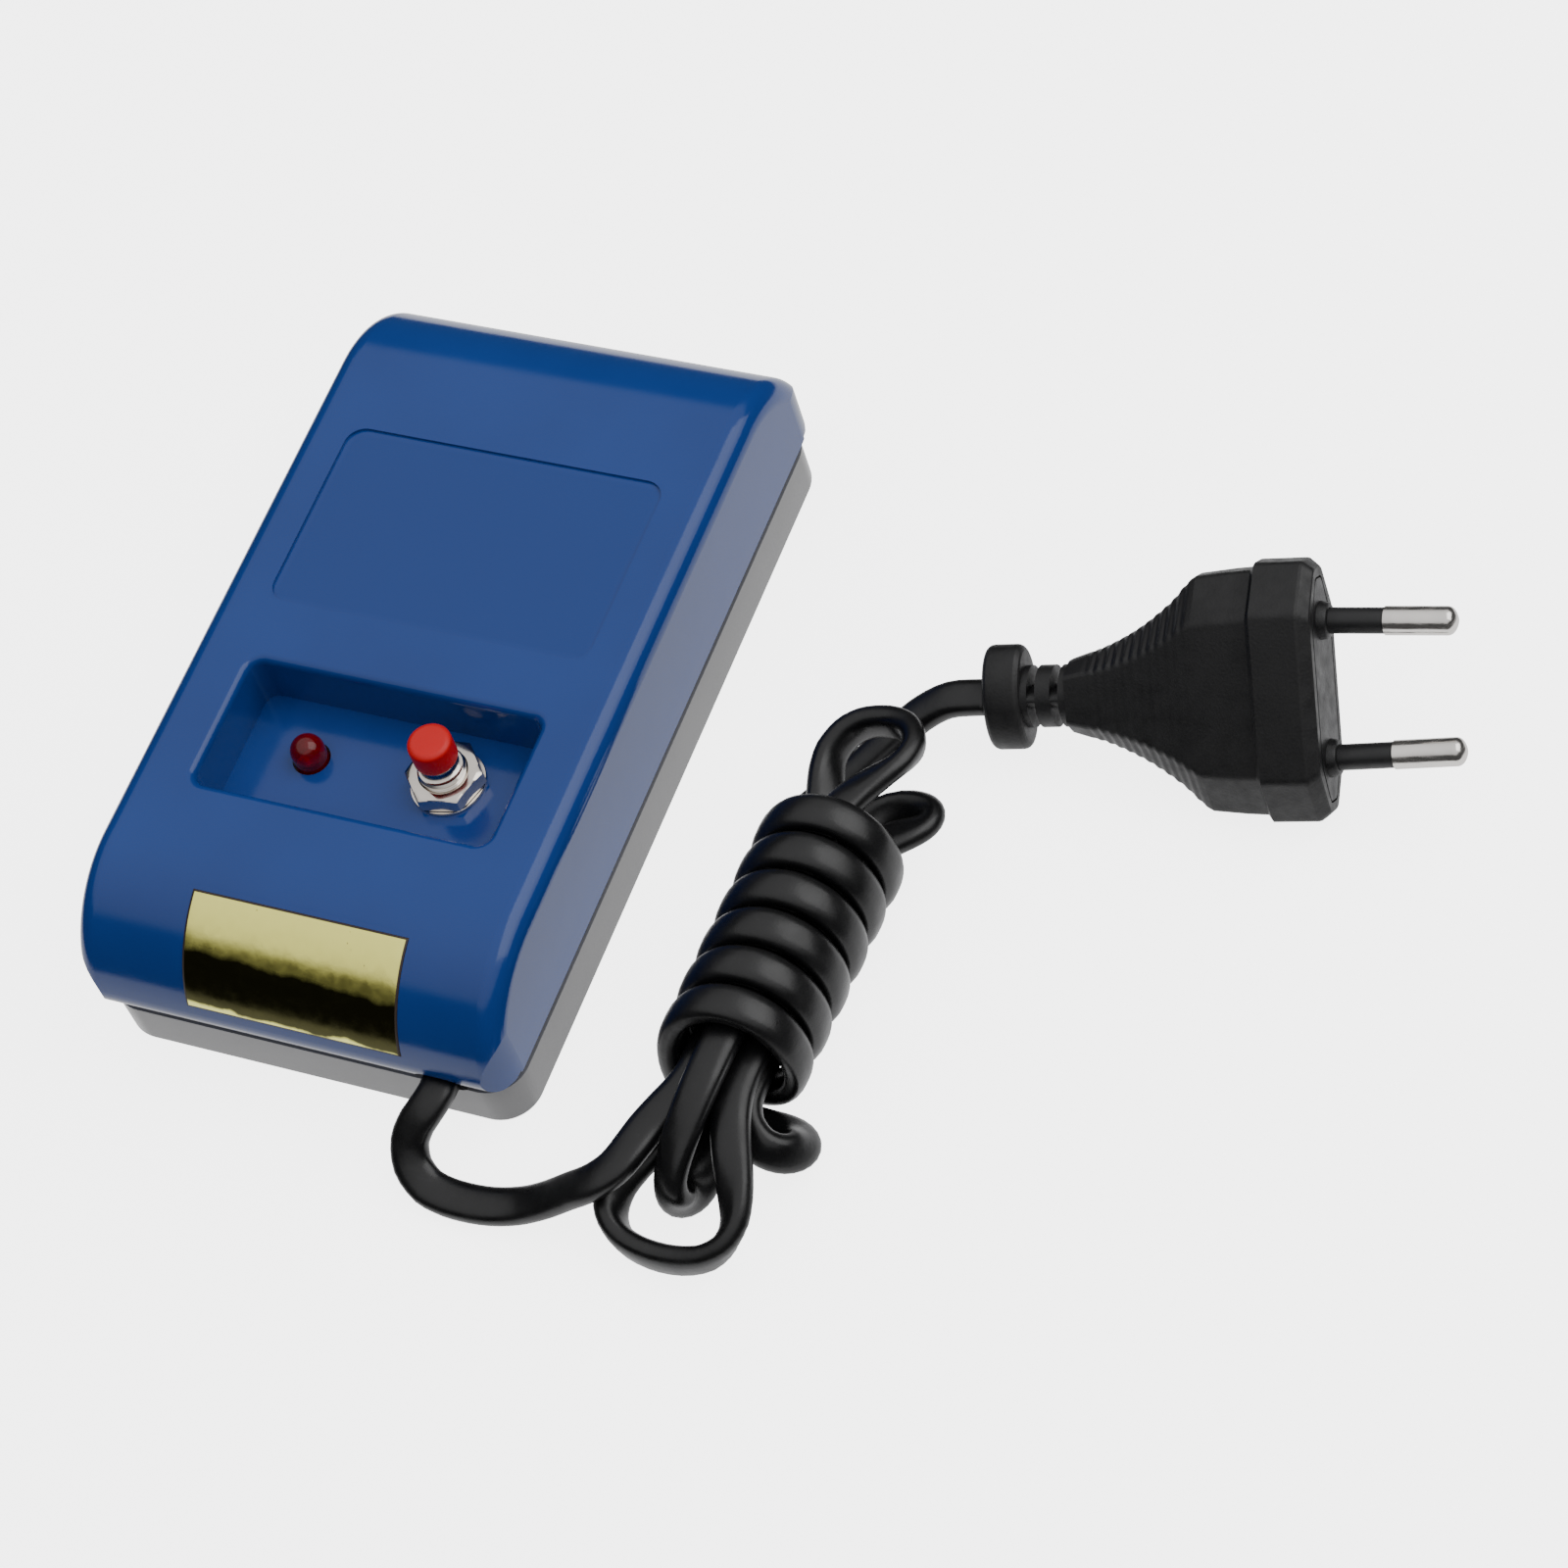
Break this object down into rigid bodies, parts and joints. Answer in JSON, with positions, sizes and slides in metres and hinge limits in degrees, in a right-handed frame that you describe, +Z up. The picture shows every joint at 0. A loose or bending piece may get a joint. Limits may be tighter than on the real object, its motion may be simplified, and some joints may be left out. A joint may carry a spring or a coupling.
{
  "type": "watch demagnetizer",
  "caption": "Bench watch demagnetizer: blue moulded case over a grey base, recessed red push button and lamp, shallow watch rest, inner pulse coil, and a wound flat cord with a two-pin plug.",
  "frame": {"origin": "under the middle of the case, on the surface that it stands on", "axes": "+Z up, +Y along the case from the cord end to the watch rest, +X to the side where the wound cord lies"},
  "size_m": [0.1763, 0.1349, 0.0313],
  "materials": {
    "base_grey": "gloss",
    "cover_blue": "gloss",
    "zinc_steel": "satin",
    "gold_foil": "mirror",
    "lamp_red": "clear gloss",
    "tinned_wire": "satin",
    "board_green": "satin",
    "resistor_tan": "matte",
    "diode_black": "satin",
    "cap_red": "satin",
    "nickel": "polished nickel",
    "contact_brass": "satin",
    "phenolic_black": "satin",
    "spring_steel": "satin",
    "core_steel": "scale",
    "bobbin_cream": "satin",
    "coil_copper": "enamelled",
    "tape_yellow": "satin",
    "cord_black": "satin",
    "wire_brown": "satin",
    "wire_blue": "satin",
    "wire_red": "satin",
    "wire_white": "satin",
    "plug_black": "satin",
    "pin_brass": "polished",
    "sleeve_black": "satin"
  },
  "bodies": {
    "case": {"base_tray": "base_grey", "top_cover": "cover_blue", "case_screws": "zinc_steel", "label_plate": "gold_foil", "led_body": "lamp_red", "led_leads": "tinned_wire", "led_board": "board_green", "board_screws": "zinc_steel", "led_resistor": "resistor_tan", "led_diode": "diode_black", "switch_bushing": "nickel", "switch_nut": "nickel", "switch_washer": "nickel", "switch_body": "phenolic_black", "switch_spring": "spring_steel", "switch_terminals": "contact_brass", "core_laminations": "core_steel", "coil_bobbin": "bobbin_cream", "coil_winding": "coil_copper", "coil_tape": "tape_yellow", "coil_terminals": "tinned_wire", "core_bracket": "zinc_steel", "bracket_screws": "zinc_steel", "cord_clamp": "zinc_steel", "clamp_screws": "zinc_steel", "inner_cord": "cord_black", "live_wire": "wire_brown", "neutral_wire": "wire_blue", "switch_wire": "wire_red", "led_wires": "wire_white", "cord_lead": "cord_black", "cord_hank": "cord_black", "cord_tail": "cord_black", "plug_body": "plug_black", "plug_pins": "pin_brass", "plug_sleeves": "sleeve_black"},
    "button": {"button_cap": "cap_red", "button_plunger": "nickel", "switch_contact": "contact_brass"}
  },
  "joints": [
    {"name": "button_slide", "type": "slide", "parent": "case", "child": "button", "axis": [0, 0, -1], "range_m": [0, 0.0016], "stiffness_N_per_m": 900, "springref_m": -0.0008, "deforming": ["switch_spring"]}
  ]
}
